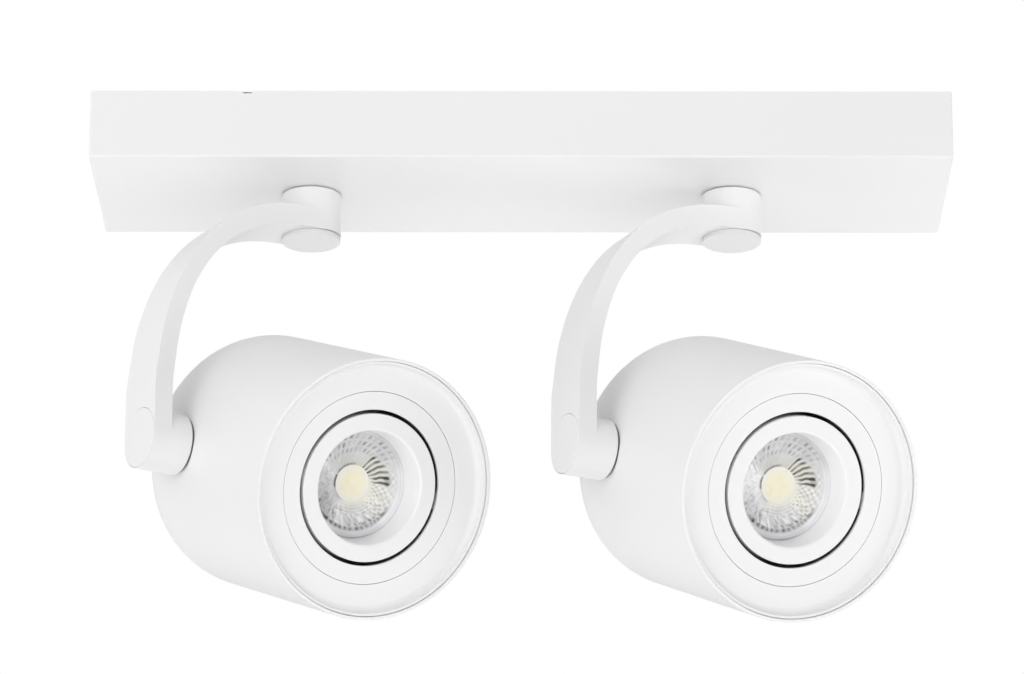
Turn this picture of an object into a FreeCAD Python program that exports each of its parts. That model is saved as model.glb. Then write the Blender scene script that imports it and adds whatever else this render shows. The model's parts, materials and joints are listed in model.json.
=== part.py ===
import FreeCAD, Part
import os, math
from FreeCAD import Vector as V, Rotation, Placement

# Twin adjustable spotlight on a flat rectangular base.
# Units: millimetres. +Z is up, X runs along the base, -Y is the front.
# Origin: centre of the flat face that goes against the ceiling or wall.

os.makedirs("parts", exist_ok=True)

# ---------------------------------------------------------------- base
BASE_L = 350.0          # length of the base cover
BASE_W = 86.0           # depth of the base cover
BASE_H = 29.0           # height of the base cover
COVER_T = 1.5           # floor thickness of the cover
WALL_T = 1.2            # side wall thickness of the cover
EDGE_R = 0.8            # outer edge radius of the cover
PLATE_T = 1.5           # mounting plate thickness
SLOT_X = 60.0           # fixing slots at +-SLOT_X
SLOT_L = 12.0           # slot length, end to end
SLOT_W = 5.0            # slot width
CABLE_X = 30.0          # cable entry position along X
CABLE_R = 4.0           # grommet bore radius
NOTCH_X = -111.3        # lifting notch in the front rim
PIVOT_X = 86.5          # pan axes at +-PIVOT_X
BLOCK_X = -25.4         # terminal block screw
LEAD_R = 1.25           # sleeved internal leads

# ---------------------------------------------------------------- aim of each head at rest
PAN = {"left": 32.9, "right": 27.0}      # degrees towards +X from straight ahead
TILT = {"left": 22.4, "right": 23.6}     # degrees below level

# ---------------------------------------------------------------- arm
KN_R = 12.3             # knuckle radius, and half the arm's width
ARM_UP = ((0, 5.2), (0.15, 4.9), (0.3, 4.3), (0.42, 3.7), (0.55, 3.2), (0.7, 3.3), (0.85, 3.7), (1, 4.0))   # outer face from the centre line, along the bend
ARM_IN = 3.8            # inner face from the centre line
ARM_TOP = -29.6         # top face of the upper knuckle
ARM_ZC = -44.2          # centre line of the arm's level end
ARM_XC = 72.95          # centre line of the arm's upright end
TILT_Z = -148.5         # height of the tilt axis
ARM_Z0 = ARM_ZC - ARM_IN            # underside at the pan end
ARM_X1 = ARM_XC + ARM_UP[-1][1]     # outer face at the tilt end
CURVE_X0 = 4.7          # where the bend starts, from the pan axis
CURVE_Z1 = -135.3       # where the bend ends
CURVE_K0 = 43.8         # bend handle along the level end
CURVE_K1 = 59.3         # bend handle along the upright end
STEM_R = 5.0            # hollow pivot stems
STEM_BORE = 3.3
RUN = 0.05              # radial running clearance
COLLAR_X = 59.45        # inner end of the lower knuckle
CAP_R = 12.0            # disc caps

# ---------------------------------------------------------------- head, measured along its own axis from the tilt axis
HEAD_X = 7.3            # axis of the head, from the pan axis towards the arm
CAN_R = 51.8            # outer radius of the can
CAN_T = 2.2             # wall of the can
CAN_REAR = -30.6        # outer rear face
REAR_FILLET = 11.4
CAN_FRONT = 72.2        # front edge of the can
RIM_R = 50.5            # bore of the can's thin front rim
RIM_Y = 62.0            # shoulder behind that rim
BEZEL_R = 50.38         # outer radius of the front bezel
BEZEL_FRONT = 71.3      # foremost edge of the bezel
SEAT_R = 38.3           # bore that takes the trim ring
FACE_Y = 67.5           # front face of the trim ring
TRIM_R = 38.1           # outer radius of the trim ring
TRIM_T = 1.55
GAP_R = 30.9            # bore of the trim ring
GIMBAL_R = 29.4         # outer radius of the gimbal ring
GIMBAL_Y = 62.0         # gimbal pivot, along the head's axis
APERTURE_R = 22.7       # opening of the gimbal ring
LENS_Y = 55.9           # front of the lamp
LAMP_R = 24.9           # lamp rim radius


def box(x0, x1, y0, y1, z0, z1):
    return Part.makeBox(x1 - x0, y1 - y0, z1 - z0, V(x0, y0, z0))


def cyl(r, a, b):
    a, b = V(*a), V(*b)
    return Part.makeCylinder(r, (b - a).Length, a, b - a)


def tube(ro, ri, a, b):
    return cyl(ro, a, b).cut(cyl(ri, a, b))


def rounded(pts, place):
    """Closed wire through (u, v) or (u, v, radius) corners; place maps (u, v) to a point."""
    n = len(pts)
    pts = [tuple(p) + (0.0,) * (3 - len(p)) for p in pts]
    ends = []
    for i in range(n):
        p, a, b = pts[i], pts[i - 1], pts[(i + 1) % n]
        r = p[2]
        if r <= 0:
            ends.append((p[:2], None, p[:2]))
            continue
        ua = (a[0] - p[0], a[1] - p[1])
        ub = (b[0] - p[0], b[1] - p[1])
        la, lb = math.hypot(*ua), math.hypot(*ub)
        ua = (ua[0] / la, ua[1] / la)
        ub = (ub[0] / lb, ub[1] / lb)
        half = math.acos(max(-1, min(1, ua[0] * ub[0] + ua[1] * ub[1]))) / 2
        t = r / math.tan(half)
        m = (ua[0] + ub[0], ua[1] + ub[1])
        lm = math.hypot(*m)
        d = r / math.sin(half) - r
        ends.append(((p[0] + ua[0] * t, p[1] + ua[1] * t),
                     (p[0] + m[0] / lm * d, p[1] + m[1] / lm * d),
                     (p[0] + ub[0] * t, p[1] + ub[1] * t)))
    edges = []
    for i in range(n):
        s, mid, e = ends[i]
        if mid:
            edges.append(Part.Arc(place(*s), place(*mid), place(*e)).toShape())
        nxt = ends[(i + 1) % n][0]
        if math.hypot(nxt[0] - e[0], nxt[1] - e[1]) > 1e-6:
            edges.append(Part.LineSegment(place(*e), place(*nxt)).toShape())
    return Part.Wire(edges)


def turned(pts, angle=360.0, start=0.0):
    """Solid of revolution about the head's axis; corners are (radius, distance along the axis)."""
    f = Part.Face(rounded(pts, lambda r, y: V(HEAD_X + r, y, 0)))
    s = f.revolve(V(HEAD_X, 0, 0), V(0, 1, 0), angle)
    if start:
        s.rotate(V(HEAD_X, 0, 0), V(0, 1, 0), start)
    return s


def turned_z(pts, x=0.0, y=0.0):
    """Solid of revolution about an upright axis; corners are (radius, z)."""
    f = Part.Face(rounded(pts, lambda r, z: V(x + r, y, z)))
    return f.revolve(V(x, y, 0), V(0, 0, 1), 360)


def turned_x(pts):
    """Solid of revolution about the tilt axis; corners are (radius, x)."""
    f = Part.Face(rounded(pts, lambda r, x: V(x, r, 0)))
    return f.revolve(V(0, 0, 0), V(1, 0, 0), 360)


def hexagon(af, a, b, turn=0.0):
    """Hexagonal prism from a to b."""
    a, b = V(*a), V(*b)
    d = b - a
    rot = Rotation(V(0, 0, 1), d)
    pts = [a + rot.multVec(V(af / math.sqrt(3) * math.cos(math.radians(60 * k + turn)),
                             af / math.sqrt(3) * math.sin(math.radians(60 * k + turn)), 0)) for k in range(7)]
    return Part.Face(Part.makePolygon(pts)).extrude(d)


def soft_edges(shape, r, pick):
    es = [e for e in shape.Edges if pick(e)]
    try:
        s = shape.makeFillet(r, es)
        if s.isValid() and s.Volume > 0:
            return s
    except Exception:
        pass
    return shape


def save(name, shape):
    shape.exportStep("parts/%s.step" % name)
    print(name, "solids", len(shape.Solids), "valid", shape.isValid(), "volume %.1f" % shape.Volume)


def both(f):
    """One compound holding the same root piece at each pivot."""
    return Part.Compound([f(-PIVOT_X), f(PIVOT_X)])


# ================================================================ base pieces
# Cover: a shallow box, open at the top, with a pivot hole at each quarter point.
cover = box(-BASE_L / 2, BASE_L / 2, -BASE_W / 2, BASE_W / 2, -BASE_H, -0.2)


def outer_edge(e):
    b = e.BoundBox
    upright = b.ZLength > 20
    low = b.ZMax < -BASE_H + 0.1
    return upright or low


cover = soft_edges(cover, EDGE_R, outer_edge)
inner = box(-BASE_L / 2 + WALL_T, BASE_L / 2 - WALL_T, -BASE_W / 2 + WALL_T, BASE_W / 2 - WALL_T, -BASE_H + COVER_T, 5)
cover = cover.cut(inner)
for sx in (-1, 1):
    cover = cover.cut(cyl(7.05, (sx * PIVOT_X, 0, -BASE_H - 2), (sx * PIVOT_X, 0, -BASE_H + 5)))
    # countersunk screw hole in each end
    cover = cover.cut(cyl(1.45, (sx * (BASE_L / 2 - 4), 0, -10), (sx * (BASE_L / 2 + 4), 0, -10)))
    cover = cover.cut(Part.makeCone(1.40, 2.70, 1.30, V(sx * (BASE_L / 2 - 1.15), 0, -10), V(sx, 0, 0)))
cover = cover.cut(box(NOTCH_X - 1.8, NOTCH_X + 1.8, -BASE_W / 2 - 2, -BASE_W / 2 + 3, -1.3, 2))
save("base_cover", cover)

# Mounting plate: fixed to the building, with slotted screw holes, turned-down ends and a cable hole.
PLX = BASE_L / 2 - WALL_T - 0.3
PLY = BASE_W / 2 - WALL_T - 0.5
plate = box(-PLX, PLX, -PLY, PLY, -PLATE_T, 0)
for sx in (-1, 1):
    ear = box(min(sx * PLX, sx * (PLX - 1.5)), max(sx * PLX, sx * (PLX - 1.5)), -13, 13, -16, -PLATE_T + 0.01)
    plate = plate.fuse(ear)
    plate = plate.cut(cyl(1.3, (sx * (PLX - 5), 0, -10), (sx * (PLX + 5), 0, -10)))
    slot = box(sx * SLOT_X - (SLOT_L - SLOT_W) / 2, sx * SLOT_X + (SLOT_L - SLOT_W) / 2, -SLOT_W / 2, SLOT_W / 2, -5, 5)
    for k in (-1, 1):
        slot = slot.fuse(cyl(SLOT_W / 2, (sx * SLOT_X + k * (SLOT_L - SLOT_W) / 2, 0, -5), (sx * SLOT_X + k * (SLOT_L - SLOT_W) / 2, 0, 5)))
    plate = plate.cut(slot)
    # clearance above each pivot
    plate = plate.cut(cyl(13, (sx * PIVOT_X, 0, -5), (sx * PIVOT_X, 0, 5)))
plate = plate.cut(cyl(7.0, (CABLE_X, 0, -5), (CABLE_X, 0, 5)))
plate = plate.cut(cyl(1.65, (CABLE_X + 30, 24, -5), (CABLE_X + 30, 24, 5)))      # earth screw thread
for y in (-9, 9):
    plate = plate.cut(cyl(1.25, (CABLE_X + 15, y, -5), (CABLE_X + 15, y, 5)))    # clamp screw threads
plate = plate.cut(cyl(1.25, (BLOCK_X, 0, -5), (BLOCK_X, 0, 5)))                  # terminal block thread
plate = plate.removeSplitter()
save("mounting_plate", plate)

# Cover screws, one through each end of the cover into the plate's turned-down ears.
screws = []
for sx in (-1, 1):
    s = cyl(1.28, (sx * (BASE_L / 2 - 6.5), 0, -10), (sx * (BASE_L / 2 - 1.0), 0, -10))
    h = Part.makeCone(1.28, 2.35, 1.07, V(sx * (BASE_L / 2 - 1.12), 0, -10), V(sx, 0, 0))
    s = s.fuse(h)
    x0, x1 = sorted((sx * (BASE_L / 2 - 0.7), sx * (BASE_L / 2 + 1)))
    s = s.cut(box(x0, x1, -0.35, 0.35, -11.6, -8.4)).cut(box(x0, x1, -1.6, 1.6, -10.35, -9.65))
    screws.append(s)
save("cover_screws", Part.Compound(screws))

# Rubber grommet in the cable hole.
save("cable_grommet", turned_z([(CABLE_R, 0), (6.9, 0), (6.9, -1.55), (9.2, -1.55), (9.2, -3.4, 0.6), (6.6, -5.0, 0.5), (CABLE_R, -5.0)], CABLE_X))

# Terminal block: three ways, each with two clamping screws.
tb = box(-35, -5, -9, 9, -15.5, -1.55)
for k in range(3):
    x = -31.0 + 9.5 * k + (1.5 if k else 0)
    tb = tb.cut(cyl(1.9, (x, -10, -8.5), (x, 10, -8.5)))
    for y in (-5, 5):
        tb = tb.cut(cyl(1.9, (x, y, -16), (x, y, -8.5)))
tb = tb.cut(cyl(1.4, (BLOCK_X, 0, -20), (BLOCK_X, 0, 0)))
tb = tb.cut(cyl(2.9, (BLOCK_X, 0, -20), (BLOCK_X, 0, -8)))
save("terminal_block", tb)
ts = []
for k in range(3):
    x = -31.0 + 9.5 * k + (1.5 if k else 0)
    for y in (-5, 5):
        s = cyl(1.85, (x, y, -14.2), (x, y, -10.6))
        s = s.cut(box(x - 2, x + 2, y - 0.3, y + 0.3, -14.5, -13.4))
        ts.append(s)
save("terminal_screws", Part.Compound(ts))

# Earth screw with its cupped washer, in the plate.
ex, ey = CABLE_X + 30, 24
es = cyl(1.62, (ex, ey, -4), (ex, ey, -0.1)).fuse(cyl(3.6, (ex, ey, -6.2), (ex, ey, -3.9)))
es = es.cut(box(ex - 3, ex + 3, ey - 0.45, ey + 0.45, -7, -5.1)).cut(box(ex - 0.45, ex + 0.45, ey - 3, ey + 3, -7, -5.1))
save("earth_screw", es)
save("earth_washer", tube(4.6, 1.75, (ex, ey, -3.88), (ex, ey, -2.6)).fuse(tube(3.0, 1.75, (ex, ey, -2.6), (ex, ey, -1.52))))

# Cable clamp: a saddle over the incoming cable, held by two screws.
cx = CABLE_X + 15
cc = box(cx - 4, cx + 4, -13, 13, -3.2, -1.52).fuse(box(cx - 4, cx + 4, -6, 6, -11, -1.52))
cc = cc.cut(box(cx - 5, cx + 5, -4.5, 4.5, -5.0, 0)).cut(cyl(4.5, (cx - 5, 0, -5.0), (cx + 5, 0, -5.0)))
for y in (-9, 9):
    cc = cc.cut(cyl(1.5, (cx, y, -5), (cx, y, 0)))
save("cable_clamp", cc)
cs = []
# two hold the clamp; the third, longer one holds the terminal block
for x, y, z in ((cx, -9, -3.22), (cx, 9, -3.22), (BLOCK_X, 0, -8.02)):
    s = cyl(1.22, (x, y, z - 0.1), (x, y, -0.2)).fuse(cyl(2.6, (x, y, z - 1.98), (x, y, z)))
    s = s.cut(box(x - 2, x + 2, y - 0.35, y + 0.35, z - 3, z - 1.2)).cut(box(x - 0.35, x + 0.35, y - 2, y + 2, z - 3, z - 1.2))
    cs.append(s)
save("retaining_screws", Part.Compound(cs))

# Pan bushes: flanged, in the cover's floor; the stems turn in them.
save("pan_bushes", both(lambda x: turned_z([(STEM_R + RUN, -BASE_H - 0.4), (10.5, -BASE_H - 0.4, 0.15), (10.5, -BASE_H), (7.0, -BASE_H), (7.0, -26.4), (STEM_R + RUN, -26.4)], x)))
# Pan washers: nylon rings on the cover's floor, round the bushes.
save("pan_washers", both(lambda x: tube(10.2, 7.1, (x, 0, -BASE_H + COVER_T), (x, 0, -26.4))))
# Stop pins: end each head's pan travel.
save("pan_stop_pins", both(lambda x: cyl(1.5, (x, 12.6, -BASE_H + COVER_T), (x, 12.6, -23.0))))


def run_tube(points, bend, r):
    """Round lead through the points: straight runs joined by tangent arcs."""
    p = [V(*q) for q in points]
    edges, here = [], p[0]
    for i in range(1, len(p) - 1):
        a, b = (p[i - 1] - p[i]).normalize(), (p[i + 1] - p[i]).normalize()
        half = a.getAngle(b) / 2
        t = bend / math.tan(half)
        m = (a + b).normalize()
        s, e = p[i] + a * t, p[i] + b * t
        mid = p[i] + m * (bend / math.sin(half) - bend)
        if (s - here).Length > 1e-6:
            edges.append(Part.LineSegment(here, s).toShape())
        edges.append(Part.Arc(s, mid, e).toShape())
        here = e
    edges.append(Part.LineSegment(here, p[-1]).toShape())
    path = Part.Wire(edges)
    prof = Part.Wire([Part.Circle(p[0], p[1] - p[0], r).toShape()])
    return path.makePipeShell([prof], True, False)


# Leads from the terminal block to the mouth of each pan stem.
def base_lead(x_way, x_pan):
    return run_tube([(x_way, -7.4, -8.5), (x_way, -17.0, -8.5), (x_pan, -17.0, -8.5), (x_pan, 0, -8.5), (x_pan, 0, -17.0)], 5.0, LEAD_R)


save("base_leads", Part.Compound([base_lead(-31.0, -PIVOT_X), base_lead(-10.5, PIVOT_X)]))


# ================================================================ arm pieces, in the arm's own frame
# X points from the pan axis to the lower knuckle, Y where the level head looks, Z up.
def bezier(t):
    p = ((CURVE_X0, ARM_ZC), (CURVE_X0 + CURVE_K0, ARM_ZC), (ARM_XC, CURVE_Z1 + CURVE_K1), (ARM_XC, CURVE_Z1))
    w = ((1 - t) ** 3, 3 * (1 - t) ** 2 * t, 3 * (1 - t) * t * t, t ** 3)
    x = sum(a * b[0] for a, b in zip(w, p))
    z = sum(a * b[1] for a, b in zip(w, p))
    d = [3 * (1 - t) ** 2 * (p[1][k] - p[0][k]) + 6 * (1 - t) * t * (p[2][k] - p[1][k]) + 3 * t * t * (p[3][k] - p[2][k]) for k in (0, 1)]
    l = math.hypot(*d)
    return x, z, d[0] / l, d[1] / l


def along(table, t):
    for (a, u), (b, v) in zip(table, table[1:]):
        if t <= b:
            return u + (v - u) * (t - a) / (b - a)
    return table[-1][1]


def arm_band(up, down, width, x_start, z_end):
    """The curved bar: its outline in the XZ plane, swept across its width. up and down are the faces' distances from the centre line."""
    up = up if isinstance(up, tuple) else ((0, up), (1, up))
    top, low = [], []
    for i in range(13):
        x, z, dx, dz = bezier(i / 12.0)
        h = along(up, i / 12.0)
        top.append(V(x - dz * h, 0, z + dx * h))
        low.append(V(x + dz * down, 0, z - dx * down))
    a, b = Part.BSplineCurve(), Part.BSplineCurve()
    a.interpolate(Points=top, InitialTangent=V(1, 0, 0), FinalTangent=V(0, 0, -1))
    b.interpolate(Points=low, InitialTangent=V(1, 0, 0), FinalTangent=V(0, 0, -1))
    s0, s1 = V(x_start, 0, ARM_ZC + up[0][1]), V(x_start, 0, ARM_ZC - down)
    e0, e1 = V(ARM_XC + up[-1][1], 0, z_end), V(ARM_XC - down, 0, z_end)
    w = Part.Wire([Part.LineSegment(s0, top[0]).toShape(), a.toShape(), Part.LineSegment(top[-1], e0).toShape(),
                   Part.LineSegment(e0, e1).toShape(), Part.LineSegment(e1, low[-1]).toShape(), b.toShape(),
                   Part.LineSegment(low[0], s1).toShape(), Part.LineSegment(s1, s0).toShape()])
    f = Part.Face(w)
    f.translate(V(0, -width / 2, 0))
    return f.extrude(V(0, width, 0))


def make_arm():
    band = arm_band(ARM_UP, ARM_IN, 2 * KN_R, 0.0, TILT_Z)
    z0, x1 = ARM_Z0, ARM_X1
    up = cyl(KN_R, (0, 0, z0), (0, 0, ARM_TOP))
    up = soft_edges(up, 0.5, lambda e: e.BoundBox.ZMin > ARM_TOP - 0.1)
    low = cyl(KN_R, (COLLAR_X, 0, TILT_Z), (x1, 0, TILT_Z))
    low = soft_edges(low, 0.4, lambda e: e.BoundBox.XMax < COLLAR_X + 0.1)
    arm = band.fuse([up, low]).removeSplitter()

    def rim(e):
        b = e.BoundBox
        side = abs(abs(b.YMin) - KN_R) < 1e-3 and abs(b.YMax - b.YMin) < 1e-3
        return side and b.DiagonalLength > 60
    arm = soft_edges(arm, 0.7, rim)
    # prising gap over the pan cap: the knuckle's lower rim slopes up towards its free side
    wedge = Part.Face(Part.makePolygon([V(3, -20, z0), V(-14, -20, z0 - 1), V(-14, -20, z0 + 1.1), V(3, -20, z0)]))
    arm = arm.cut(wedge.extrude(V(0, 40, 0)))
    # wire channel inside the bar, from pocket to pocket
    arm = arm.cut(arm_band(1.5, 1.5, 9.0, 3.0, TILT_Z + 3.0))
    # pocket, bore and cap seat at the pan end
    arm = arm.cut(cyl(CAP_R + 0.2, (0, 0, z0 - 4), (0, 0, z0)))
    arm = arm.cut(cyl(8.6, (0, 0, z0 - 1), (0, 0, z0 + 3.6)))
    arm = arm.cut(cyl(STEM_R + 0.02, (0, 0, z0), (0, 0, ARM_TOP + 1)))
    # pocket, bore and cap seat at the tilt end
    arm = arm.cut(cyl(CAP_R + 0.15, (x1 - 1.5, 0, TILT_Z), (x1 + 3, 0, TILT_Z)))
    arm = arm.cut(cyl(8.6, (x1 - 4.8, 0, TILT_Z), (x1 + 1, 0, TILT_Z)))
    arm = arm.cut(cyl(STEM_R + 0.02, (COLLAR_X - 1, 0, TILT_Z), (x1, 0, TILT_Z)))
    return arm


def make_pan_stem():
    z0 = ARM_Z0
    s = turned_z([(STEM_BORE, z0 + 0.8), (8.0, z0 + 0.8, 0.4), (8.0, z0 + 3.5), (STEM_R, z0 + 3.5), (STEM_R, -15.0, 0.5), (STEM_BORE, -15.0)])
    for k in (-1, 1):
        s = s.cut(box(k * 6 - 1.2, k * 6 + 1.2, -0.9, 0.9, z0, z0 + 2.2))      # driver notches
    return s.cut(box(0, 9, -1.6, 1.6, -48, ARM_ZC + 1.5))                      # way out for the lead


def make_pan_cap():
    z0 = ARM_Z0
    return turned_z([(0, z0 - 1.85), (CAP_R, z0 - 1.85, 0.45), (CAP_R, z0 - 0.15), (8.4, z0 - 0.15), (8.4, z0 + 0.6), (0, z0 + 0.6)])


def make_stop_washer():
    w = tube(9.5, STEM_R + 0.03, (0, 0, -26.1), (0, 0, -25.1))
    tab = box(-2.5, 2.5, 8.0, 14.0, -26.1, -25.1)
    return w.fuse(tab)


def make_pan_spring():
    return turned_z([(5.2, -23.7), (9.0, -25.08), (9.0, -24.3), (5.2, -22.92)])


def make_pan_nut():
    return hexagon(14.0, (0, 0, -22.9), (0, 0, -17.9)).cut(cyl(STEM_R + 0.02, (0, 0, -30), (0, 0, -10)))


def make_tilt_stem():
    x1 = ARM_X1
    s = turned_x([(STEM_BORE, x1 - 2.3), (8.0, x1 - 2.3, 0.4), (8.0, x1 - 4.7), (STEM_R, x1 - 4.7), (STEM_R, 45.0, 0.5), (STEM_BORE, 45.0)])
    for k in (-1, 1):
        s = s.cut(box(x1 - 3.6, x1, -0.9, 0.9, k * 6 - 1.2, k * 6 + 1.2))
    s.translate(V(0, 0, TILT_Z))
    return s.cut(box(ARM_XC - 1.5, ARM_XC + 5, -1.6, 1.6, TILT_Z, TILT_Z + 9))


def make_tilt_cap():
    x1 = ARM_X1
    s = turned_x([(0, x1 + 0.3), (CAP_R, x1 + 0.3, 0.45), (CAP_R, x1 - 1.45), (8.4, x1 - 1.45), (8.4, x1 - 2.2), (0, x1 - 2.2)])
    s.translate(V(0, 0, TILT_Z))
    return s


def make_tilt_spring():
    s = turned_x([(5.2, 51.2), (9.0, 52.6), (9.0, 53.4), (5.2, 52.0)])
    s.translate(V(0, 0, TILT_Z))
    return s


def make_tilt_nut():
    s = hexagon(14.0, (51.15, 0, TILT_Z), (46.2, 0, TILT_Z), 30).cut(cyl(STEM_R + 0.02, (40, 0, TILT_Z), (60, 0, TILT_Z)))
    return s


def make_disc_springs():
    return Part.Compound([make_pan_spring(), make_tilt_spring()])


def make_lock_nuts():
    return Part.Compound([make_pan_nut(), make_tilt_nut()])


def make_arm_leads():
    """Lead through both stems and the channel in the bar."""
    a = run_tube([(0, 0, -19.0), (0, 0, ARM_ZC), (4.5, 0, ARM_ZC)], 2.9, LEAD_R)
    b = run_tube([(ARM_XC, 0, TILT_Z + 4.5), (ARM_XC, 0, TILT_Z), (48.0, 0, TILT_Z)], 2.9, LEAD_R)
    return arm_band(LEAD_R, LEAD_R, 2 * LEAD_R, 3.6, TILT_Z + 3.6).fuse([a, b]).removeSplitter()


# ================================================================ head pieces, level, about the tilt axis
def make_can():
    ri = CAN_R - CAN_T
    s = turned([(0, CAN_REAR), (CAN_R, CAN_REAR, REAR_FILLET), (CAN_R, CAN_FRONT, 0.4), (RIM_R, CAN_FRONT, 0.25), (RIM_R, RIM_Y),
                (ri, RIM_Y), (ri, CAN_REAR + CAN_T, REAR_FILLET - CAN_T), (0, CAN_REAR + CAN_T)])
    # boss for the tilt stem, faced flat outside and inside
    boss = cyl(11.6, (53.7, 0, 0), (58.3, 0, 0))
    s = s.cut(cyl(12.6, (58.3, 0, 0), (66, 0, 0))).fuse(boss).removeSplitter()
    return s.cut(cyl(STEM_R + RUN, (50, 0, 0), (66, 0, 0)))


def make_tilt_washer():
    return turned_x([(STEM_R + RUN, 58.3), (11.3, 58.3), (11.3, 59.1, 0.2), (STEM_R + RUN, 59.1)])


def make_bezel():
    # a cupped ring: its low wall stands just inside the can's rim, its flat lies level with the trim ring
    return turned([(BEZEL_R, RIM_Y + 0.1), (BEZEL_R, BEZEL_FRONT, 0.45), (49.2, BEZEL_FRONT, 0.4), (48.8, 67.75, 2.6),
                   (SEAT_R, FACE_Y), (SEAT_R, FACE_Y - TRIM_T - 0.05), (35.4, FACE_Y - TRIM_T - 0.05),
                   (35.4, 63.2), (41.5, 63.2), (42.5, 66.0), (48.7, 66.2), (48.7, RIM_Y + 0.1)])


def make_trim_ring():
    s = turned([(GAP_R, FACE_Y, 0.35), (GAP_R, FACE_Y - TRIM_T + 0.15), (GAP_R + 1.5, FACE_Y - TRIM_T), (TRIM_R, FACE_Y - TRIM_T), (TRIM_R, FACE_Y, 0.15)])
    for sx in (-1, 1):      # lugs that carry the gimbal pins
        x0, x1 = HEAD_X + sx * 31.6, HEAD_X + sx * 34.6
        lug = box(min(x0, x1), max(x0, x1), 58.6, FACE_Y - TRIM_T + 0.2, -3.4, 3.4)
        lug = lug.cut(cyl(1.5, (HEAD_X + sx * 28, GIMBAL_Y, 0), (HEAD_X + sx * 38, GIMBAL_Y, 0)))
        s = s.fuse(lug)
    return s.removeSplitter()


def make_gimbal_pins():
    return Part.Compound([cyl(1.48, (HEAD_X + sx * 25.9, GIMBAL_Y, 0), (HEAD_X + sx * 34.6, GIMBAL_Y, 0)) for sx in (-1, 1)])


def make_trim_springs():
    out = []
    for a in (90, 210, 330):
        leg = box(HEAD_X + 34.4, HEAD_X + 35.0, 61.6, FACE_Y - TRIM_T - 0.02, -3, 3)
        foot = box(HEAD_X + 34.4, HEAD_X + 38.6, 61.6, 62.2, -3, 3)
        s = leg.fuse(foot)
        s.rotate(V(HEAD_X, 0, 0), V(0, 1, 0), a)
        out.append(s)
    return Part.Compound(out)


def make_gimbal_ring():
    s = turned([(21.6, LENS_Y + 0.1), (APERTURE_R, FACE_Y - 0.1, 1.1), (GIMBAL_R, FACE_Y - 0.1, 0.4), (GIMBAL_R, 58.4), (27.5, 55.6), (27.5, 48.4),
                (25.1, 48.4), (25.1, 49.0), (26.1, 49.0), (26.1, 50.45), (25.1, 50.45), (25.1, LENS_Y + 0.1)])
    for sx in (-1, 1):
        s = s.cut(cyl(1.48 + RUN, (HEAD_X + sx * 25.4, GIMBAL_Y, 0), (HEAD_X + sx * 31, GIMBAL_Y, 0)))
    return s


def make_lamp_clip():
    return turned([(24.0, 49.1), (25.9, 49.1, 0.3), (25.9, 50.4, 0.3), (24.0, 50.4)], 335.0, 100.0)


def make_lamp_body():
    s = turned([(0, 51.0), (16.0, 51.0), (19.0, 53.0), (LAMP_R, 53.0), (LAMP_R, 50.5, 0.4), (23.7, 50.5), (23.4, 48.6), (22.6, 46.0, 4), (16.0, 27.0, 6), (13.3, 21.0), (13.3, 6.0),
                (9.5, 3.0), (3.0, 3.0), (3.0, 5.0), (8.6, 5.0), (11.5, 7.2), (11.5, 21.4), (14.2, 27.6), (20.7, 46.5), (21.2, 49.4), (0, 49.4)])
    for sx in (-1, 1):
        s = s.cut(cyl(1.62, (HEAD_X + sx * 5.0, 6, 0), (HEAD_X + sx * 5.0, 2, 0)))
    return s


def make_lamp_lens():
    return turned([(0, 53.3), (LAMP_R, 53.2), (LAMP_R, LENS_Y, 0.5), (18.0, LENS_Y), (0, LENS_Y)])


def make_lamp_cob():
    return turned([(0, 51.05), (9.0, 51.05), (9.0, 51.8), (7.0, 51.8), (7.0, 52.6, 0.3), (0, 52.6)])


def make_lamp_pins():
    out = []
    for sx in (-1, 1):
        x = HEAD_X + sx * 5.0
        # a head inside the shell's base, the pin through it, and the thicker contact
        pin = cyl(1.6, (x, 5.5, 0), (x, -1.0, 0)).fuse([cyl(2.3, (x, 5.02, 0), (x, 5.9, 0)), cyl(2.5, (x, -0.9, 0), (x, -3.5, 0))])
        out.append(pin.removeSplitter())
    return Part.Compound(out)


def make_lampholder():
    s = turned([(0, 2.6), (11.5, 2.6, 0.8), (14.0, -1.0, 1.0), (14.0, -11.0, 1.0), (0, -11.0)])
    for sx in (-1, 1):
        x = HEAD_X + sx * 5.0
        s = s.cut(cyl(2.8, (x, 3, 0), (x, -4.2, 0)))
    s = s.cut(box(HEAD_X - 20, HEAD_X + 20, -12, -6, 9.5, 20)).cut(box(HEAD_X - 20, HEAD_X + 20, -12, -6, -20, -9.5))
    return s


def make_head_leads():
    """Lead from the lampholder towards the tilt stem."""
    return run_tube([(HEAD_X, -11.0, 0), (HEAD_X, -19.0, 0), (32.0, -19.0, 0), (32.0, 0, 0), (43.5, 0, 0)], 5.0, LEAD_R)


ARM_PIECES = {"arm": make_arm, "pan_stem": make_pan_stem, "pan_cap": make_pan_cap, "pan_stop_washer": make_stop_washer,
              "disc_springs": make_disc_springs, "lock_nuts": make_lock_nuts, "tilt_stem": make_tilt_stem,
              "tilt_cap": make_tilt_cap, "arm_leads": make_arm_leads}
HEAD_PIECES = {"head_can": make_can, "tilt_washer": make_tilt_washer, "front_bezel": make_bezel, "trim_ring": make_trim_ring,
               "gimbal_pins": make_gimbal_pins, "trim_springs": make_trim_springs, "gimbal_ring": make_gimbal_ring,
               "lamp_clip": make_lamp_clip, "lamp_body": make_lamp_body, "lamp_lens": make_lamp_lens,
               "lamp_cob": make_lamp_cob, "lamp_pins": make_lamp_pins, "lampholder": make_lampholder, "head_leads": make_head_leads}


def arm_place(side):
    x = -PIVOT_X if side == "left" else PIVOT_X
    return Placement(V(x, 0, 0), Rotation(V(0, 0, 1), PAN[side] + 180.0))


def head_place(side):
    return arm_place(side).multiply(Placement(V(0, 0, TILT_Z), Rotation(V(1, 0, 0), -TILT[side])))


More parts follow.
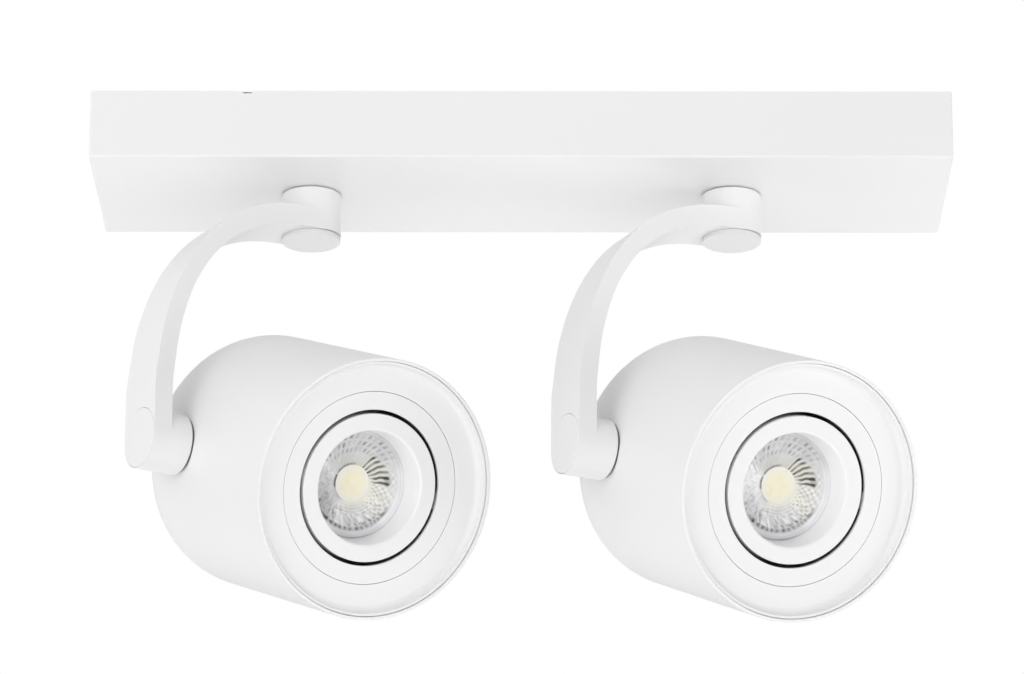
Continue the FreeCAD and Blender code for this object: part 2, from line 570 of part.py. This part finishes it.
for side in ("left", "right"):
    for name, make in ARM_PIECES.items():
        s = make()
        s.Placement = arm_place(side).multiply(s.Placement)
        save("%s_%s" % (name, side), s)
    for name, make in HEAD_PIECES.items():
        s = make()
        s.Placement = head_place(side).multiply(s.Placement)
        save("%s_%s" % (name, side), s)
    # joint frames, for reference
    t = arm_place(side).Rotation.multVec(V(-1, 0, 0))
    n = head_place(side).Rotation.multVec(V(0, 1, 0))
    g = head_place(side).multVec(V(HEAD_X, GIMBAL_Y, 0))
    print(side, "tilt axis", [round(c, 6) for c in t], "aim", [round(c, 6) for c in n], "gimbal pivot", [round(c, 4) for c in g])
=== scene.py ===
import json
import math
import random

import bmesh
import bpy
from mathutils import Matrix, Vector


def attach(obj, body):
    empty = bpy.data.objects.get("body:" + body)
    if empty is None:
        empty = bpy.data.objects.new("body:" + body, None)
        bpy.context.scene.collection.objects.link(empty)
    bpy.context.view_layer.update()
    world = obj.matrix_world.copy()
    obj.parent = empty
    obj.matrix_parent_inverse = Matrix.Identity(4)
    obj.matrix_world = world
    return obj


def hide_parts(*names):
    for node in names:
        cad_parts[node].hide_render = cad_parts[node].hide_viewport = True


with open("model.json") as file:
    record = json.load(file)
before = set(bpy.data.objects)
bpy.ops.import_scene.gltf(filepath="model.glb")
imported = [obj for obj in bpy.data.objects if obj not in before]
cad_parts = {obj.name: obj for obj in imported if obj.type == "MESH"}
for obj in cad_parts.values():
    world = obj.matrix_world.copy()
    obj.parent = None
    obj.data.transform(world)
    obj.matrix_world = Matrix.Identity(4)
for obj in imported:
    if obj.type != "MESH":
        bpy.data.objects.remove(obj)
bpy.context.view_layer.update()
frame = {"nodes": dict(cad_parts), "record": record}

scene = bpy.context.scene
scene.view_settings.view_transform = "Standard"
scene.view_settings.look = "None"
MM = 0.001

# ------------------------------------------------------------------ rest pose of each head, as in the solid model
SIDES = {"left": (-86.5, 32.9, 22.4), "right": (86.5, 27.0, 23.6)}   # pan axis x, pan, tilt
TILT_Z = -148.5
HEAD_X = 7.3
BORE_IN, BORE_OUT = 22.7 - 0.1, 22.7 + 0.7   # where the gimbal ring turns from its bore to its face


def head_matrix(side):
    """Level head frame in mm (aim along +Y, tilt axis along X) to the row frame in metres."""
    x, pan, tilt = SIDES[side]
    return (Matrix.Scale(MM, 4) @ Matrix.Translation((x, 0, 0)) @ Matrix.Rotation(math.radians(pan + 180), 4, "Z")
            @ Matrix.Translation((0, 0, TILT_Z)) @ Matrix.Rotation(math.radians(-tilt), 4, "X"))


def arm_matrix(side):
    x, pan, tilt = SIDES[side]
    return Matrix.Scale(MM, 4) @ Matrix.Translation((x, 0, 0)) @ Matrix.Rotation(math.radians(pan + 180), 4, "Z")


# ------------------------------------------------------------------ materials
class Nodes:
    """Small helper round a material's node tree."""

    def __init__(self, name):
        self.mat = bpy.data.materials.new(name)
        self.mat.use_nodes = True
        self.tree = self.mat.node_tree
        self.tree.nodes.clear()
        self.out = self.tree.nodes.new("ShaderNodeOutputMaterial")
        self.bsdf = self.tree.nodes.new("ShaderNodeBsdfPrincipled")
        self.tree.links.new(self.bsdf.outputs[0], self.out.inputs[0])
        self.coord = self.tree.nodes.new("ShaderNodeTexCoord").outputs["Object"]

    def add(self, kind, **inputs):
        n = self.tree.nodes.new(kind)
        for k, v in inputs.items():
            if k in n.inputs:
                n.inputs[k].default_value = v
            else:
                setattr(n, k, v)
        return n

    def link(self, a, b):
        self.tree.links.new(a, b)

    def noise(self, scale, detail=3.0, rough=0.5):
        n = self.add("ShaderNodeTexNoise", Scale=scale, Detail=detail, Roughness=rough)
        self.link(self.coord, n.inputs["Vector"])
        return n.outputs[0]

    def span(self, value, a, b, lo=0.3, hi=0.7):
        n = self.add("ShaderNodeMapRange")
        n.inputs[1].default_value, n.inputs[2].default_value = lo, hi
        n.inputs[3].default_value, n.inputs[4].default_value = a, b
        self.link(value, n.inputs[0])
        return n.outputs[0]

    def mix(self, value, a, b):
        n = self.add("ShaderNodeMix", data_type="RGBA")
        n.inputs[6].default_value, n.inputs[7].default_value = (*a, 1), (*b, 1)
        self.link(value, n.inputs[0])
        return n.outputs[2]

    def bump(self, height, strength, distance, under=None):
        n = self.add("ShaderNodeBump", Strength=strength, Distance=distance)
        self.link(height, n.inputs["Height"])
        if under is not None:
            self.link(under, n.inputs["Normal"])
        return n.outputs[0]


def coated(name, light, dark, rough=(0.36, 0.46), peel=0.25, fine=2600.0, coat=0.0):
    """Powder coat: broad tone drift, fine grain in the gloss, and an orange-peel skin."""
    m = Nodes(name)
    m.link(m.mix(m.span(m.noise(14.0, 4.0), 0.0, 1.0), dark, light), m.bsdf.inputs["Base Color"])
    m.link(m.span(m.noise(420.0, 2.0), *rough), m.bsdf.inputs["Roughness"])
    big = m.bump(m.noise(520.0, 2.0), peel, 0.00012)
    m.link(m.bump(m.noise(fine, 3.0, 0.6), peel, 0.00004, big), m.bsdf.inputs["Normal"])
    m.bsdf.inputs["Specular IOR Level"].default_value = 0.45
    m.bsdf.inputs["Coat Weight"].default_value = coat
    return m.mat


def metal(name, light, dark, rough=(0.22, 0.42), stretch=(1, 1, 1), scale=900.0):
    m = Nodes(name)
    mp = m.add("ShaderNodeMapping")
    mp.inputs["Scale"].default_value = stretch
    m.link(m.coord, mp.inputs["Vector"])
    n = m.add("ShaderNodeTexNoise", Scale=scale, Detail=4.0)
    m.link(mp.outputs[0], n.inputs["Vector"])
    m.link(m.mix(m.span(m.noise(60.0, 4.0), 0.0, 1.0), dark, light), m.bsdf.inputs["Base Color"])
    m.link(m.span(n.outputs[0], *rough), m.bsdf.inputs["Roughness"])
    m.link(m.bump(n.outputs[0], 0.2, 0.00004), m.bsdf.inputs["Normal"])
    m.bsdf.inputs["Metallic"].default_value = 1.0
    return m.mat


def plastic(name, light, dark, rough=(0.35, 0.55), scale=700.0, depth=0.00005, glow=0.0):
    m = Nodes(name)
    m.link(m.mix(m.span(m.noise(45.0, 4.0), 0.0, 1.0), dark, light), m.bsdf.inputs["Base Color"])
    m.link(m.span(m.noise(scale * 0.5, 2.0), *rough), m.bsdf.inputs["Roughness"])
    m.link(m.bump(m.noise(scale, 3.0), 0.3, depth), m.bsdf.inputs["Normal"])
    if glow:
        m.bsdf.inputs["Subsurface Weight"].default_value = glow
        m.bsdf.inputs["Subsurface Scale"].default_value = 0.001
    return m.mat


FINISH = {
    "white_steel": coated("powder_base", (0.848, 0.843, 0.846), (0.831, 0.826, 0.829)),
    "white_head": coated("powder_head", (0.853, 0.846, 0.850), (0.836, 0.829, 0.833), peel=0.18),
    "zinc": metal("zinc_plate", (0.74, 0.75, 0.77), (0.60, 0.61, 0.64)),
    "brass": metal("bare_brass", (0.80, 0.62, 0.30), (0.62, 0.45, 0.20)),
    "rubber_black": plastic("rubber_black", (0.045, 0.045, 0.047), (0.025, 0.025, 0.027), (0.55, 0.75)),
    "nylon": plastic("nylon_natural", (0.82, 0.81, 0.77), (0.76, 0.75, 0.70), glow=0.1),
    "lamp_shell": plastic("lamp_shell_white", (0.84, 0.84, 0.83), (0.79, 0.79, 0.78), (0.25, 0.4), 300.0),
    "clear_lens": plastic("clear_moulding", (0.72, 0.72, 0.76), (0.62, 0.62, 0.68), (0.08, 0.2), 400.0),
    "phosphor": plastic("phosphor_gel", (0.90, 0.86, 0.62), (0.86, 0.81, 0.54), (0.3, 0.5), 500.0),
    "acetal_black": plastic("acetal_black", (0.20, 0.20, 0.202), (0.15, 0.15, 0.152), (0.35, 0.5), 900.0),
    "ceramic": plastic("steatite", (0.83, 0.80, 0.74), (0.76, 0.73, 0.67), (0.3, 0.6), 900.0),
    "nickel": metal("nickel_plate", (0.76, 0.74, 0.68), (0.62, 0.60, 0.54), (0.12, 0.3)),
    "lead_sleeve": plastic("silicone_sleeve", (0.76, 0.75, 0.71), (0.68, 0.67, 0.63), (0.5, 0.7), 1200.0),
}
# The pan caps get a darker copy of the head's white powder coat: painted shade.
CAP_COAT_PAINTED_SHADE = coated("powder_cap_painted_shade", (0.790, 0.786, 0.788), (0.770, 0.766, 0.768), (0.30, 0.40), peel=0.12)


def gimbal_coat_painted_bore_light(side):
    """Powder coat whose bore is painted lighter than the face: painted light standing in for the light falling on the
    bore wall.
    """
    m = Nodes("powder_gimbal_painted_bore_light_" + side)
    turn = head_matrix(side)
    centre = turn @ Vector((HEAD_X, 0, 0))
    axis = (turn.to_3x3() @ Vector((0, 1, 0))).normalized()
    out = m.add("ShaderNodeVectorMath", operation="SUBTRACT")
    out.inputs[1].default_value = centre
    m.link(m.coord, out.inputs[0])
    cross = m.add("ShaderNodeVectorMath", operation="CROSS_PRODUCT")
    cross.inputs[1].default_value = axis
    m.link(out.outputs[0], cross.inputs[0])
    far = m.add("ShaderNodeVectorMath", operation="LENGTH")
    m.link(cross.outputs[0], far.inputs[0])
    grain = m.span(m.noise(14.0, 4.0), 0.0, 1.0)
    face = m.mix(grain, (0.836, 0.829, 0.833), (0.853, 0.846, 0.850))
    # painted light: the bore gets a lighter colour than the face to stand in for light on the bore wall
    bore = m.mix(grain, (0.945, 0.940, 0.943), (0.960, 0.955, 0.958))
    both = m.add("ShaderNodeMix", data_type="RGBA")
    m.link(m.span(far.outputs["Value"], 0.0, 1.0, BORE_IN * MM, BORE_OUT * MM), both.inputs[0])
    m.link(bore, both.inputs[6])
    m.link(face, both.inputs[7])
    m.link(both.outputs[2], m.bsdf.inputs["Base Color"])
    m.link(m.span(m.noise(420.0, 2.0), 0.36, 0.46), m.bsdf.inputs["Roughness"])
    m.link(m.bump(m.noise(520.0, 2.0), 0.18, 0.00012), m.bsdf.inputs["Normal"])
    m.bsdf.inputs["Specular IOR Level"].default_value = 0.45
    return m.mat


GIMBAL_COAT_PAINTED_BORE_LIGHT = {"gimbal_ring_" + side: gimbal_coat_painted_bore_light(side) for side in SIDES}
SLOT_OF = {s["node"]: s["material_slot"] for s in frame["record"]["subparts"]}
for node, obj in frame["nodes"].items():
    mat = CAP_COAT_PAINTED_SHADE if node.startswith("pan_cap") else GIMBAL_COAT_PAINTED_BORE_LIGHT.get(node, FINISH[SLOT_OF[node]])
    if obj.material_slots:
        for s in obj.material_slots:
            s.material = mat
    else:
        obj.data.materials.append(mat)


# ------------------------------------------------------------------ the lamp's optic and light source
def put(name, mesh, side, body, slot, mats, *nodes):
    mesh.transform(head_matrix(side))
    mesh.update()
    o = bpy.data.objects.new(name, mesh)
    scene.collection.objects.link(o)
    for m in mats:
        mesh.materials.append(m)
    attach(o, body)
    if nodes:
        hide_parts(*nodes)
    return o


def lathe(bm, profile, segs=96, mat=0, smooth=True):
    """Surface of revolution about the head's axis through (radius, distance along it) points."""
    rings = []
    for r, y in profile:
        if r < 1e-6:
            rings.append([bm.verts.new((HEAD_X, y, 0))])
        else:
            rings.append([bm.verts.new((HEAD_X + r * math.cos(2 * math.pi * k / segs), y, r * math.sin(2 * math.pi * k / segs)))
                          for k in range(segs)])
    for a, b in zip(rings, rings[1:]):
        for k in range(segs):
            j = (k + 1) % segs
            va, vb = (a[0], a[0]) if len(a) == 1 else (a[k], a[j])
            vc, vd = (b[0], b[0]) if len(b) == 1 else (b[j], b[k])
            vs = []
            for v in (va, vb, vc, vd):
                if v not in vs:
                    vs.append(v)
            f = bm.faces.new(vs)
            f.smooth = smooth
            f.material_index = mat


def smooth(x, a, b):
    t = max(0.0, min(1.0, (x - a) / (b - a)))
    return t * t * (3 - 2 * t)


def window(x, a, b, soft):
    """1 between a and b, falling to 0 over soft on each side."""
    return smooth(x, a - soft, a) * (1 - smooth(x, b, b + soft))


class Grain:
    """Smooth random levels on a grid, the same on every run."""

    def __init__(self, seed):
        rng = random.Random(seed)
        self.v = [rng.random() for _ in range(4096)]

    def __call__(self, x, y=0.0):
        xi, yi = math.floor(x), math.floor(y)
        fx, fy = x - xi, y - yi
        fx, fy = fx * fx * (3 - 2 * fx), fy * fy * (3 - 2 * fy)

        def g(i, j):
            return self.v[(int(i) * 73 + int(j) * 911) & 4095]
        a = g(xi, yi) * (1 - fx) + g(xi + 1, yi) * fx
        b = g(xi, yi + 1) * (1 - fx) + g(xi + 1, yi + 1) * fx
        return a * (1 - fy) + b * fy


GRAIN = Grain(11)
OPTIC_IN, OPTIC_BEND, OPTIC_OUT = 7.45, 18.5, 21.5


def crystal(phi, r):
    """Painted tone, painted warm reflection and relief of the pebbled optic at an angle (degrees, anticlockwise from
    the viewer's right) and radius; tone and warmth are painted reflection and shade standing in for light through the
    clear moulding.
    """
    turned = phi if phi < 180 else phi - 360
    right = window(turned, -32, 16, 22)
    left = window(phi, 130, 225, 28)
    low = window(phi, 245, 330, 22)
    high = window(phi, 50, 140, 15)
    inside = 1 - smooth(r, 18.3, 18.9)
    # painted shade on the lower left; the optic is also painted lighter on the right and darker on the left
    shade = window(phi, 205, 250, 16) * window(r, 12.5, 17.8, 2.0)
    tone = 0.74 - 0.05 * left + 0.10 * right + 0.05 * low * (1 - smooth(r, 14, 16.5)) - 0.02 * high - 0.13 * shade
    # painted reflection of the phosphor: warm on the right, low down and high up
    painted_warm_reflection = 0.10 + 0.30 * right * (1 - smooth(r, 15, 18)) + 0.14 * low * (1 - smooth(r, 10, 13)) + 0.20 * high * (1 - smooth(r, 10, 15))
    # fine streaks everywhere, leaning away from the fan
    lean = phi + (3.0 - 5.0 * window(phi, 205, 310, 45)) * (r - 9)
    streak = GRAIN(lean / 3.4, r / 4.0) - 0.5
    tone += inside * streak * (0.05 + 0.02 * left + 0.14 * shade + 0.12 * low + 0.06 * right)
    relief = streak * 0.5 * inside
    tone += inside * (GRAIN(lean / 1.7 + 40, r / 1.1 + 7) - 0.5) * 0.10
    tone += (GRAIN(phi / 14 + 5, r / 2.4 + 3) - 0.5) * 0.08
    speck = window(phi, 170, 250, 18) * window(r, 11.5, 18, 1.5)
    tone -= speck * 0.34 * max(0.0, GRAIN(phi / 3.6 + 51, r / 1.0) - 0.42)
    # the fan of leaning ribs, dark and straw in turn: painted shade and painted reflection of the phosphor
    s = turned + 0.7 * (r - 9)
    fan = window(s, 14, 68, 6) * window(r, 8.0, 14.9 - 2.0 * smooth(s, 30, 65), 1.5)
    turn = (s - 22) * 360 / 10.6 + 150 * (GRAIN(s / 18, r / 2.0) - 0.5)
    rib = smooth(0.5 + 0.5 * math.cos(math.radians(turn)), 0.15, 0.9)
    deep = 0.40 + 0.60 * max(GRAIN(s / 9.2 + 3, r / 1.6), 0.8 * (1 - smooth(s, 20, 40)))
    tone = tone * (1 - fan) + fan * (0.84 - 0.80 * rib * deep)
    painted_warm_reflection = painted_warm_reflection * (1 - fan) + fan * (0.75 - 0.25 * rib)
    relief += fan * (0.5 - rib) * 1.2
    blot = math.exp(-((turned - 14) / 7.0) ** 2 - ((r - 14.6) / 1.3) ** 2) * (0.6 + 0.6 * GRAIN(phi / 3, r / 0.8))
    tone -= 0.46 * blot
    # beads on the right, in rows that follow the rings
    cell = math.cos(math.radians(turned * 360 / 10.5 + 200 * GRAIN(r / 2.6, turned / 30 + 4))) * math.cos((r + 0.9 * GRAIN(turned / 9, 6)) * 2 * math.pi / 2.7)
    bead = right * window(r, 9.4, 18.0, 1.0) * (1 - fan)
    tone += bead * (0.30 - 0.12 * smooth(r, 14.5, 16)) * cell * (0.15 + 1.1 * GRAIN(phi / 5 + 31, r / 1.8))
    relief += bead * cell * 0.8
    # rows of pebbles at the top
    column = 0.5 + 0.5 * math.cos(math.radians((phi + 1.5 * (r - 15)) * 360 / 8.2))
    rows = window(r, 13.4, 14.2, 0.9) + window(r, 16.1, 16.9, 0.9) + window(r, 18.8, 19.6, 0.9)
    spot = smooth(column, 0.10, 0.90) * (0.15 + 0.85 * GRAIN(phi / 8.2 + 9, r / 2.7))
    tone -= window(phi, 48, 150, 14) * rows * spot * 0.40
    relief -= high * rows * spot * 0.8
    # the dark dotted band low down
    band = window(phi, 236, 328, 18) * window(r, 17.5, 18.1, 0.8)
    dot = (0.5 + 0.5 * math.cos(math.radians((phi + 14 * GRAIN(phi / 17, 5)) * 360 / 8.2))) ** 1.3
    dot *= 0.35 + 0.65 * GRAIN(phi / 6.1 + 77, r / 1.2)
    tone -= band * (0.13 + 0.40 * dot)
    relief -= band * dot
    inner = window(phi, 280, 326, 10) * window(r, 15.9, 16.5, 0.5)
    tone -= inner * 0.30 * (0.5 + 0.5 * math.cos(math.radians((phi + 4) * 360 / 8.2))) * (0.4 + 0.6 * GRAIN(phi / 5, 2))
    # fine arcs between the band and the light source, then bright strokes: painted highlights
    arcs = low * window(r, 8.6, 12.4, 0.8)
    tone += arcs * 0.10 * math.cos((r + 0.8 * GRAIN(phi / 20, 9)) * 2 * math.pi / 1.25) * (0.3 + GRAIN(phi / 11, r / 2))
    grit = low * window(r, 12.4, 16.6, 0.6)
    tone += grit * 0.55 * (GRAIN((phi - 2.0 * r) / 3.2 + 13, r / 2.4) - 0.45)
    relief += grit * (GRAIN((phi - 2.0 * r) / 3.2 + 13, r / 2.4) - 0.45)
    # the smooth outer flange, painted lighter below and to the right as a painted highlight, with faint rings
    flange = smooth(r, 18.4, 19.0)
    tone += flange * (0.05 * window(phi, 215, 345, 15) + 0.06 * right + 0.04 * math.cos(r * 2 * math.pi / 1.5))
    # painted shadow along the flange's outer edge low down, where the aperture wall shades it
    tone -= 0.34 * smooth(r, 20.5, 21.3) * window(phi, 215, 292, 22)
    painted_warm_reflection *= 1 - flange * window(phi, 200, 345, 20)
    # painted shadow: dark crescents beside the light source; and a straw glow where it blends in, a painted reflection
    # of the phosphor
    edge = 1 - smooth(r, 7.9, 8.9)
    dark = 0.30 * window(phi, 100, 150, 14) + 0.62 * window(phi, 168, 194, 9) + 0.14 * window(phi, 205, 245, 12)
    tone -= edge * dark
    painted_warm_reflection += 0.5 * edge * window(phi, 60, 192, 12)
    glow = (1 - smooth(r, 7.6, 10.2)) * window(turned, -100, 18, 26)
    tone += (0.95 - tone) * glow * 0.9
    painted_warm_reflection += (0.75 - painted_warm_reflection) * glow * 0.8
    return max(0.02, min(0.98, tone)), max(0.0, min(1.0, painted_warm_reflection)), relief


def optic(side):
    bm = bmesh.new()
    # flange and rim of the clear moulding
    lathe(bm, [(24.85, 53.3), (24.85, 55.35), (24.7, 55.7), (24.35, 55.86), (21.9, 55.88), (21.6, 55.7), (21.5, 55.6)], 120, 0)
    painted_lens_tone = bm.verts.layers.float.new("painted_lens_tone")
    painted_warm_reflection = bm.verts.layers.float.new("painted_warm_reflection")
    for f in bm.faces:
        for v in f.verts:
            v[painted_lens_tone] = 0.8
    around, across = 480, 60
    rows = []
    for i in range(across + 1):
        r = OPTIC_IN + (OPTIC_OUT - OPTIC_IN) * i / across
        row = []
        for k in range(around):
            phi = 360.0 * k / around
            t, w, h = crystal(phi, r)
            a = math.radians(180 - phi)
            fade = 0.0 if i in (0, across) else 0.16
            y = 52.6 + 2.7 * min(1.0, (r - OPTIC_IN) / (OPTIC_BEND - OPTIC_IN)) + 0.3 * smooth(r, OPTIC_BEND, OPTIC_OUT) + h * fade
            v = bm.verts.new((HEAD_X + r * math.cos(a), y, r * math.sin(a)))
            v[painted_lens_tone], v[painted_warm_reflection] = t, w
            row.append(v)
        rows.append(row)
    for a, b in zip(rows, rows[1:]):
        for k in range(around):
            j = (k + 1) % around
            f = bm.faces.new((a[k], a[j], b[j], b[k]))
            f.smooth = True
            f.material_index = 1
            f.normal_update()
            if f.normal.y < 0:
                f.normal_flip()
    mesh = bpy.data.meshes.new("optic_" + side)
    bm.to_mesh(mesh)
    bm.free()
    put("optic_" + side, mesh, side, "gimbal_" + side, "clear_lens", [RIM_CLEAR, LENSLETS], "lamp_lens_" + side)


def light_source(side):
    bm = bmesh.new()
    # phosphor dome, then the clear edge and the board's rim
    lathe(bm, [(0, 52.72), (2.2, 52.71), (4.4, 52.68), (6.0, 52.64), (7.0, 52.6), (7.45, 52.58), (7.7, 52.5), (7.75, 51.7)], 96, 0)
    lathe(bm, [(7.75, 51.7), (8.0, 51.65), (8.95, 51.6), (9.0, 51.1)], 96, 1)
    pale = bm.verts.layers.float.new("pale")
    for v in bm.verts:
        v[pale] = smooth(math.hypot(v.co.x - HEAD_X, v.co.z), 4.6, 7.2)
    bmesh.ops.recalc_face_normals(bm, faces=bm.faces)
    mesh = bpy.data.meshes.new("source_" + side)
    bm.to_mesh(mesh)
    bm.free()
    put("source_" + side, mesh, side, "gimbal_" + side, "phosphor", [PHOSPHOR, DAM], "lamp_cob_" + side)


def lenslet_material():
    m = Nodes("lenslets")
    t = m.add("ShaderNodeAttribute", attribute_name="painted_lens_tone").outputs["Fac"]
    w = m.add("ShaderNodeAttribute", attribute_name="painted_warm_reflection").outputs["Fac"]
    ramp = m.add("ShaderNodeValToRGB")
    ramp.color_ramp.elements[0].color = (0.02, 0.02, 0.022, 1)
    ramp.color_ramp.elements[1].color = (0.90, 0.90, 0.92, 1)
    for at, c in ((0.3, (0.20, 0.20, 0.215)), (0.62, (0.55, 0.55, 0.575))):
        ramp.color_ramp.elements.new(at).color = (*c, 1)
    m.link(t, ramp.inputs[0])
    mx = m.add("ShaderNodeMix", data_type="RGBA", blend_type="MULTIPLY")
    mx.inputs[7].default_value = (0.98, 0.95, 0.74, 1)
    m.link(w, mx.inputs[0])
    m.link(ramp.outputs[0], mx.inputs[6])
    m.link(mx.outputs[2], m.bsdf.inputs["Base Color"])
    m.link(m.span(m.noise(900.0, 2.0), 0.06, 0.18), m.bsdf.inputs["Roughness"])
    m.link(m.bump(m.noise(1500.0, 2.0), 0.15, 0.00005), m.bsdf.inputs["Normal"])
    m.bsdf.inputs["Coat Weight"].default_value = 0.5
    m.bsdf.inputs["Coat Roughness"].default_value = 0.05
    m.bsdf.inputs["IOR"].default_value = 1.5
    return m.mat


def phosphor_material():
    m = Nodes("phosphor_dome")
    p = m.add("ShaderNodeAttribute", attribute_name="pale").outputs["Fac"]
    mx = m.add("ShaderNodeMix", data_type="RGBA")
    mx.inputs[7].default_value = (0.84, 0.83, 0.76, 1)
    m.link(p, mx.inputs[0])
    m.link(m.mix(m.span(m.noise(240.0, 3.0), 0.0, 1.0), (0.86, 0.815, 0.60), (0.90, 0.86, 0.66)), mx.inputs[6])
    m.link(mx.outputs[2], m.bsdf.inputs["Base Color"])
    m.link(m.span(m.noise(350.0, 2.0), 0.25, 0.4), m.bsdf.inputs["Roughness"])
    m.link(m.bump(m.noise(900.0, 3.0), 0.2, 0.00004), m.bsdf.inputs["Normal"])
    m.bsdf.inputs["Coat Weight"].default_value = 0.4
    m.bsdf.inputs["Coat Roughness"].default_value = 0.06
    return m.mat


RIM_CLEAR = plastic("optic_rim", (0.80, 0.80, 0.83), (0.72, 0.72, 0.76), (0.06, 0.16), 500.0)
LENSLETS = lenslet_material()
PHOSPHOR = phosphor_material()
DAM = plastic("source_dam", (0.80, 0.79, 0.72), (0.72, 0.71, 0.64), (0.2, 0.4), 900.0)
for side in SIDES:
    optic(side)
    light_source(side)


# ------------------------------------------------------------------ floor, light and camera
def stage_floor():
    bm = bmesh.new()
    bmesh.ops.create_grid(bm, x_segments=24, y_segments=24, size=5.0)
    for v in bm.verts:
        v.co.z = -2.4
    mesh = bpy.data.meshes.new("floor")
    bm.to_mesh(mesh)
    bm.free()
    o = bpy.data.objects.new("floor", mesh)
    scene.collection.objects.link(o)
    m = Nodes("floor_pale")
    m.link(m.mix(m.span(m.noise(1.5, 3.0), 0.0, 1.0), (0.86, 0.86, 0.86), (0.90, 0.90, 0.90)), m.bsdf.inputs["Base Color"])
    m.link(m.span(m.noise(30.0, 2.0), 0.6, 0.8), m.bsdf.inputs["Roughness"])
    mesh.materials.append(m.mat)


stage_floor()

# Surroundings: soft levels, each greatest along one direction and falling to nothing at right angles to it.
ROOM = {("X", -1): 0.28, ("Y", 1): 0.45, ("Z", -1): 6.2, ("Z", 1): 1.24}

world = bpy.data.worlds.new("studio")
scene.world = world
world.use_nodes = True
wt = world.node_tree
wt.nodes.clear()


def w_math(kind, a, b):
    n = wt.nodes.new("ShaderNodeMath")
    n.operation = kind
    wt.links.new(a, n.inputs[0])
    if isinstance(b, (int, float)):
        n.inputs[1].default_value = b
    else:
        wt.links.new(b, n.inputs[1])
    return n.outputs[0]


w_tc = wt.nodes.new("ShaderNodeTexCoord")
w_sep = wt.nodes.new("ShaderNodeSeparateXYZ")
wt.links.new(w_tc.outputs["Generated"], w_sep.inputs[0])
level = None
for (axis, sense), gain in ROOM.items():
    lobe = w_math("MAXIMUM", w_math("MULTIPLY", w_sep.outputs[axis], sense * gain), 0.0)
    level = lobe if level is None else w_math("ADD", level, lobe)
w_room = wt.nodes.new("ShaderNodeBackground")
wt.links.new(level, w_room.inputs["Strength"])
w_back = wt.nodes.new("ShaderNodeBackground")       # the white sweep that the camera sees
w_back.inputs["Color"].default_value = (1, 1, 1, 1)
w_path = wt.nodes.new("ShaderNodeLightPath")
w_mix = wt.nodes.new("ShaderNodeMixShader")
w_out = wt.nodes.new("ShaderNodeOutputWorld")
wt.links.new(w_path.outputs["Is Camera Ray"], w_mix.inputs[0])
wt.links.new(w_room.outputs[0], w_mix.inputs[1])
wt.links.new(w_back.outputs[0], w_mix.inputs[2])
wt.links.new(w_mix.outputs[0], w_out.inputs[0])


def soft_light(name, place, aim, size, power, colour=(1, 1, 1)):
    d = bpy.data.lights.new(name, "AREA")
    d.shape = "RECTANGLE"
    d.size, d.size_y = size
    d.energy = power
    d.color = colour
    o = bpy.data.objects.new(name, d)
    scene.collection.objects.link(o)
    o.location = place
    o.rotation_euler = (Vector(aim) - Vector(place)).to_track_quat("-Z", "Y").to_euler()
    o.visible_camera = False
    return o


AIM = (0, 0, -0.1)
soft_light("front_left", (-1.0, -1.6, -0.1), AIM, (0.9, 0.9), 7.6)
soft_light("front_low", (0.0, -1.4, -1.0), AIM, (1.0, 0.8), 4.0)
soft_light("high_left", (-1.4, -0.9, 0.5), AIM, (0.9, 0.9), 1.9)
soft_light("near_right", (0.6, -0.7, -0.1), (0.1, 0, -0.05), (0.5, 0.5), 0.3)
soft_light("right_bank", (1.6, -0.3, -0.4), (0.1, 0, -0.1), (0.8, 0.8), 5.5)
soft_light("below_front", (0.0, -0.7, -1.5), AIM, (1.2, 0.8), 0.9)
soft_light("from_below", (0.0, 0.15, -1.8), AIM, (1.8, 1.2), 1.5)

# The camera of the reference view.
F_PX, PITCH, YAW, ROLL, DIST = 4988.357, 19.7216, -0.3789, 0.2130, 2.037863
e, y, r = (math.radians(a) for a in (PITCH, YAW, ROLL))
fwd = Vector((math.sin(y) * math.cos(e), math.cos(y) * math.cos(e), math.sin(e)))
right = Vector((math.cos(y), -math.sin(y), 0))
up = right.cross(fwd)
rr = right * math.cos(r) + up * math.sin(r)
uu = up * math.cos(r) - right * math.sin(r)
spot = Vector((-0.003623, 0, -0.090979)) - fwd * DIST
cam = bpy.data.cameras.new("camera")
cam.sensor_width = 36.0
cam.lens = F_PX / 1024.0 * 36.0
cam.clip_start, cam.clip_end = 0.05, 50.0
cam_obj = bpy.data.objects.new("camera", cam)
scene.collection.objects.link(cam_obj)
cam_obj.matrix_world = Matrix(((rr.x, uu.x, -fwd.x, spot.x), (rr.y, uu.y, -fwd.y, spot.y), (rr.z, uu.z, -fwd.z, spot.z), (0, 0, 0, 1)))
scene.camera = cam_obj

bpy.context.view_layer.update()
